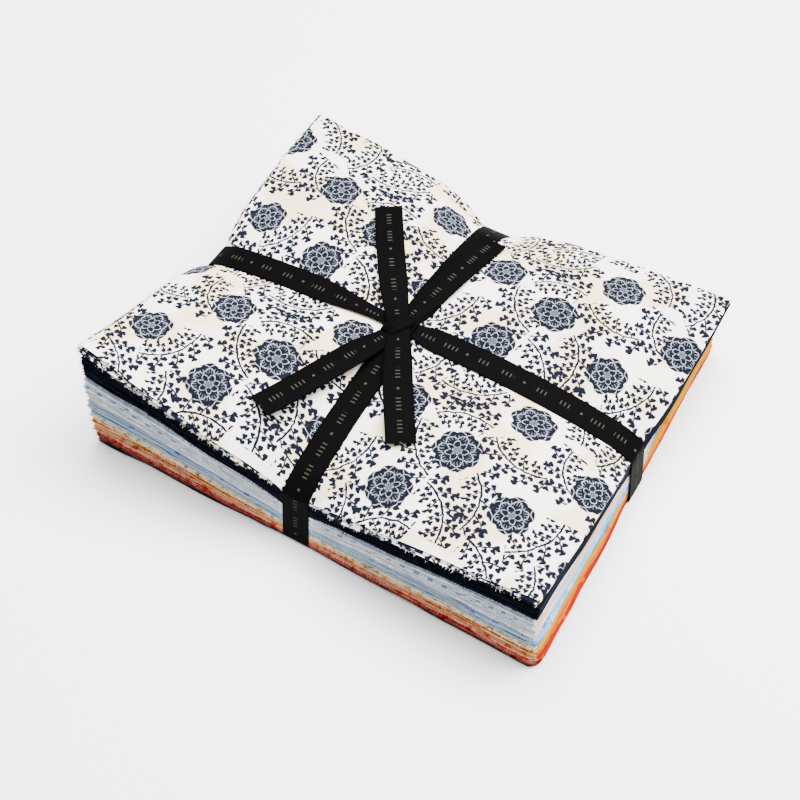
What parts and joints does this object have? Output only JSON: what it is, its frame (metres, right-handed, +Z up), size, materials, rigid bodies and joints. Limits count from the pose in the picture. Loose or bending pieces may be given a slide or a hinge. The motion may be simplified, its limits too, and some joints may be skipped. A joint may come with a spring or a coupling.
{
  "type": "fat quarter bundle",
  "caption": "Squared stack of folded quilting-cotton fat quarters, tied both ways with a flat ribbon that is knotted on top, its free ends lying over the cloth.",
  "frame": {"origin": "centre of the bounding box in plan, at the level of the flat underside", "axes": "+Z up; +X along the long side of the folded cloths, towards their round folds; +Y along the short side, towards the back"},
  "size_m": [0.2696, 0.2316, 0.0807],
  "materials": {
    "cotton_forest": "plain-woven quilting cotton, matt, raw cut edges",
    "cotton_garnet": "plain-woven quilting cotton, matt, raw cut edges",
    "cotton_poppy": "plain-woven quilting cotton, matt, raw cut edges",
    "cotton_brick": "plain-woven quilting cotton, matt, raw cut edges",
    "cotton_coral": "plain-woven quilting cotton, matt, raw cut edges",
    "cotton_amber": "plain-woven quilting cotton, matt, raw cut edges",
    "cotton_mustard": "plain-woven quilting cotton, matt, raw cut edges",
    "cotton_straw": "plain-woven quilting cotton, matt, raw cut edges",
    "cotton_dotted": "plain-woven quilting cotton, matt, raw cut edges",
    "cotton_teal": "plain-woven quilting cotton, matt, raw cut edges",
    "cotton_sky": "plain-woven quilting cotton, matt, raw cut edges",
    "cotton_lavender": "plain-woven quilting cotton, matt, raw cut edges",
    "cotton_mist": "plain-woven quilting cotton, matt, raw cut edges",
    "cotton_chalk": "plain-woven quilting cotton, matt, raw cut edges",
    "cotton_blush": "plain-woven quilting cotton, matt, raw cut edges",
    "cotton_pearl": "plain-woven quilting cotton, matt, raw cut edges",
    "cotton_silver": "plain-woven quilting cotton, matt, raw cut edges",
    "cotton_frost": "plain-woven quilting cotton, matt, raw cut edges",
    "cotton_indigo": "plain-woven quilting cotton, matt, raw cut edges",
    "cotton_ink": "plain-woven quilting cotton, matt, raw cut edges",
    "cotton_navy": "plain-woven quilting cotton, matt, raw cut edges",
    "cotton_raven": "plain-woven quilting cotton, matt, raw cut edges",
    "cotton_midnight": "plain-woven quilting cotton, matt, raw cut edges",
    "cotton_cream": "plain-woven quilting cotton, matt, raw cut edges",
    "ribbon": "matt black woven ribbon with a small pale gold print"
  },
  "bodies": {
    "root": {"fat_quarter_01_forest": "cotton_forest", "fat_quarter_02_garnet": "cotton_garnet", "fat_quarter_03_poppy": "cotton_poppy", "fat_quarter_04_brick": "cotton_brick", "fat_quarter_05_coral": "cotton_coral", "fat_quarter_06_amber": "cotton_amber", "fat_quarter_07_mustard": "cotton_mustard", "fat_quarter_08_straw": "cotton_straw", "fat_quarter_09_dotted": "cotton_dotted", "fat_quarter_10_teal": "cotton_teal", "fat_quarter_11_sky": "cotton_sky", "fat_quarter_12_lavender": "cotton_lavender", "fat_quarter_13_mist": "cotton_mist", "fat_quarter_14_chalk": "cotton_chalk", "fat_quarter_15_blush": "cotton_blush", "fat_quarter_16_pearl": "cotton_pearl", "fat_quarter_17_silver": "cotton_silver", "fat_quarter_18_frost": "cotton_frost", "fat_quarter_19_indigo": "cotton_indigo", "fat_quarter_20_ink": "cotton_ink", "fat_quarter_21_navy": "cotton_navy", "fat_quarter_22_raven": "cotton_raven", "fat_quarter_23_midnight": "cotton_midnight", "fat_quarter_24_cream": "cotton_cream", "ribbon_strap_long": "ribbon", "ribbon_strap_short": "ribbon", "ribbon_knot": "ribbon", "ribbon_end_back": "ribbon", "ribbon_end_front": "ribbon", "ribbon_end_left": "ribbon", "ribbon_end_right": "ribbon"}
  },
  "joints": []
}
